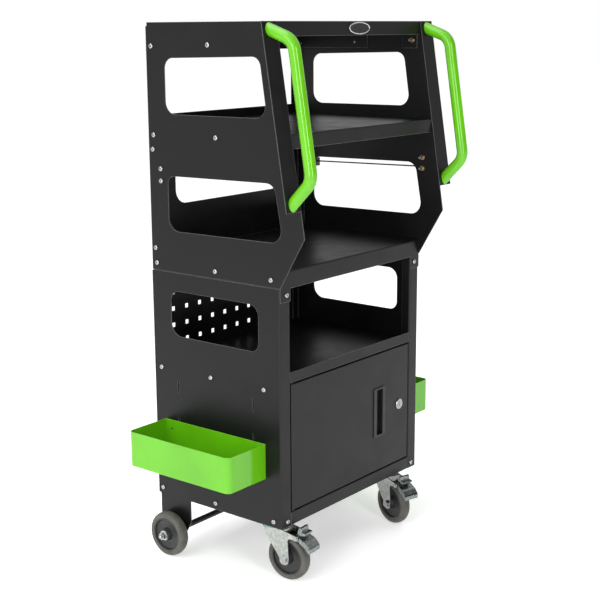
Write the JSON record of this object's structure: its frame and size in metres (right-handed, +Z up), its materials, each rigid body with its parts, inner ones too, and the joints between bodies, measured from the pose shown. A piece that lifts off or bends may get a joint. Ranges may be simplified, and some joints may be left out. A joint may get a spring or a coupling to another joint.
{
  "type": "rolling tool chest",
  "caption": "Rolling workshop chest: a sheet-metal cabinet with a door, an open shelf unit on top, side trays and casters.",
  "frame": {"origin": "on the floor under the centre of the overall box", "axes": "+Z up, the door and handles face -Y, +X to the right of someone facing the door"},
  "size_m": [0.6584, 0.4238, 1.048],
  "materials": {
    "charcoal_panel": "fine matt powder coat",
    "green_paint": "satin powder coat",
    "black_badge": "gloss black plate, pale rim",
    "black_plastic": "moulded, fine texture",
    "bright_zinc": "bright zinc plate",
    "yellow_zinc": "yellow passivated zinc",
    "galvanised": "pressed, zinc plated",
    "tread_zinc": "dark textured zinc",
    "grey_tyre": "thermoplastic rubber, satin",
    "dark_hub": "moulded nylon",
    "bush_steel": "turned",
    "lock_metal": "plated die casting"
  },
  "bodies": {
    "chest": {"upper_side_left": "charcoal_panel", "upper_side_right": "charcoal_panel", "top_panel": "charcoal_panel", "header_badge": "black_badge", "mid_shelf": "charcoal_panel", "rear_panel": "charcoal_panel", "work_shelf": "charcoal_panel", "handle_left": "green_paint", "handle_right": "green_paint", "handle_screws": "bright_zinc", "side_rail": "black_plastic", "rail_clamp": "black_plastic", "lower_side_left": "charcoal_panel", "lower_side_right": "charcoal_panel", "perforated_back": "charcoal_panel", "inner_shelf": "charcoal_panel", "bottom_panel": "charcoal_panel", "side_bolts_left": "bright_zinc", "side_bolts_right": "bright_zinc", "side_nuts_left": "yellow_zinc", "side_nuts_right": "yellow_zinc", "front_screws": "bright_zinc", "rear_screws": "bright_zinc", "post_and_rear_nuts": "yellow_zinc", "hinge_bracket": "charcoal_panel", "hinge_pins": "galvanised", "rear_axle": "bright_zinc", "rear_axle_tube": "galvanised", "rear_axle_nuts": "bright_zinc", "caster_screws": "galvanised", "caster_plate_left": "galvanised", "caster_race_left": "galvanised", "caster_kingpin_left": "galvanised", "caster_plate_right": "galvanised", "caster_race_right": "galvanised", "caster_kingpin_right": "galvanised"},
    "door": {"door": "charcoal_panel", "door_pull": "black_plastic", "lock_housing": "lock_metal", "lock_nut": "lock_metal"},
    "lock": {"lock_core": "lock_metal", "lock_cam": "lock_metal"},
    "tray_left": {"tray_left": "green_paint"},
    "tray_right": {"tray_right": "green_paint"},
    "rear_wheel_left": {"rear_tyre_left": "grey_tyre", "rear_hub_left": "dark_hub", "rear_bush_left": "bush_steel"},
    "caster_left": {"caster_fork_left": "galvanised", "caster_axle_left": "galvanised"},
    "caster_wheel_left": {"caster_tyre_left": "grey_tyre", "caster_hub_left": "dark_hub"},
    "brake_left": {"caster_brake_left": "tread_zinc"},
    "rear_wheel_right": {"rear_tyre_right": "grey_tyre", "rear_hub_right": "dark_hub", "rear_bush_right": "bush_steel"},
    "caster_right": {"caster_fork_right": "galvanised", "caster_axle_right": "galvanised"},
    "caster_wheel_right": {"caster_tyre_right": "grey_tyre", "caster_hub_right": "dark_hub"},
    "brake_right": {"caster_brake_right": "tread_zinc"}
  },
  "joints": [
    {"name": "door_hinge", "type": "hinge", "parent": "chest", "child": "door", "pos_m": [-0.186, -0.1063, 0.27], "axis": [0, 0, -1], "range_deg": [0, 110]},
    {"name": "lock_turn", "type": "hinge", "parent": "door", "child": "lock", "pos_m": [0.1605, -0.1123, 0.2705], "axis": [0, -1, 0], "range_deg": [0, 90]},
    {"name": "tray_left_lift", "type": "slide", "parent": "chest", "child": "tray_left", "axis": [0, 0, 1], "range_m": [0, 0.014]},
    {"name": "tray_right_lift", "type": "slide", "parent": "chest", "child": "tray_right", "axis": [0, 0, 1], "range_m": [0, 0.014]},
    {"name": "rear_wheel_left_spin", "type": "hinge", "parent": "chest", "child": "rear_wheel_left", "pos_m": [-0.2418, 0.1665, 0.045], "axis": [1, 0, 0], "continuous": true},
    {"name": "rear_wheel_right_spin", "type": "hinge", "parent": "chest", "child": "rear_wheel_right", "pos_m": [0.2418, 0.1665, 0.045], "axis": [1, 0, 0], "continuous": true},
    {"name": "caster_left_swivel", "type": "hinge", "parent": "chest", "child": "caster_left", "pos_m": [-0.183, -0.0595, 0.1], "axis": [0, 0, 1], "continuous": true},
    {"name": "caster_wheel_left_spin", "type": "hinge", "parent": "caster_left", "child": "caster_wheel_left", "pos_m": [-0.18056, -0.09441, 0.045], "axis": [0.9976, 0.0698, 0], "continuous": true},
    {"name": "brake_left_press", "type": "hinge", "parent": "caster_left", "child": "brake_left", "pos_m": [-0.17868, -0.12135, 0.093], "axis": [0.9976, 0.0698, 0], "range_deg": [0, 20]},
    {"name": "caster_right_swivel", "type": "hinge", "parent": "chest", "child": "caster_right", "pos_m": [0.183, -0.0595, 0.1], "axis": [0, 0, 1], "continuous": true},
    {"name": "caster_wheel_right_spin", "type": "hinge", "parent": "caster_right", "child": "caster_wheel_right", "pos_m": [0.17335, -0.09314, 0.045], "axis": [0.9613, -0.2756, 0], "continuous": true},
    {"name": "brake_right_press", "type": "hinge", "parent": "caster_right", "child": "brake_right", "pos_m": [0.16591, -0.1191, 0.093], "axis": [0.9613, -0.2756, 0], "range_deg": [0, 20]}
  ]
}
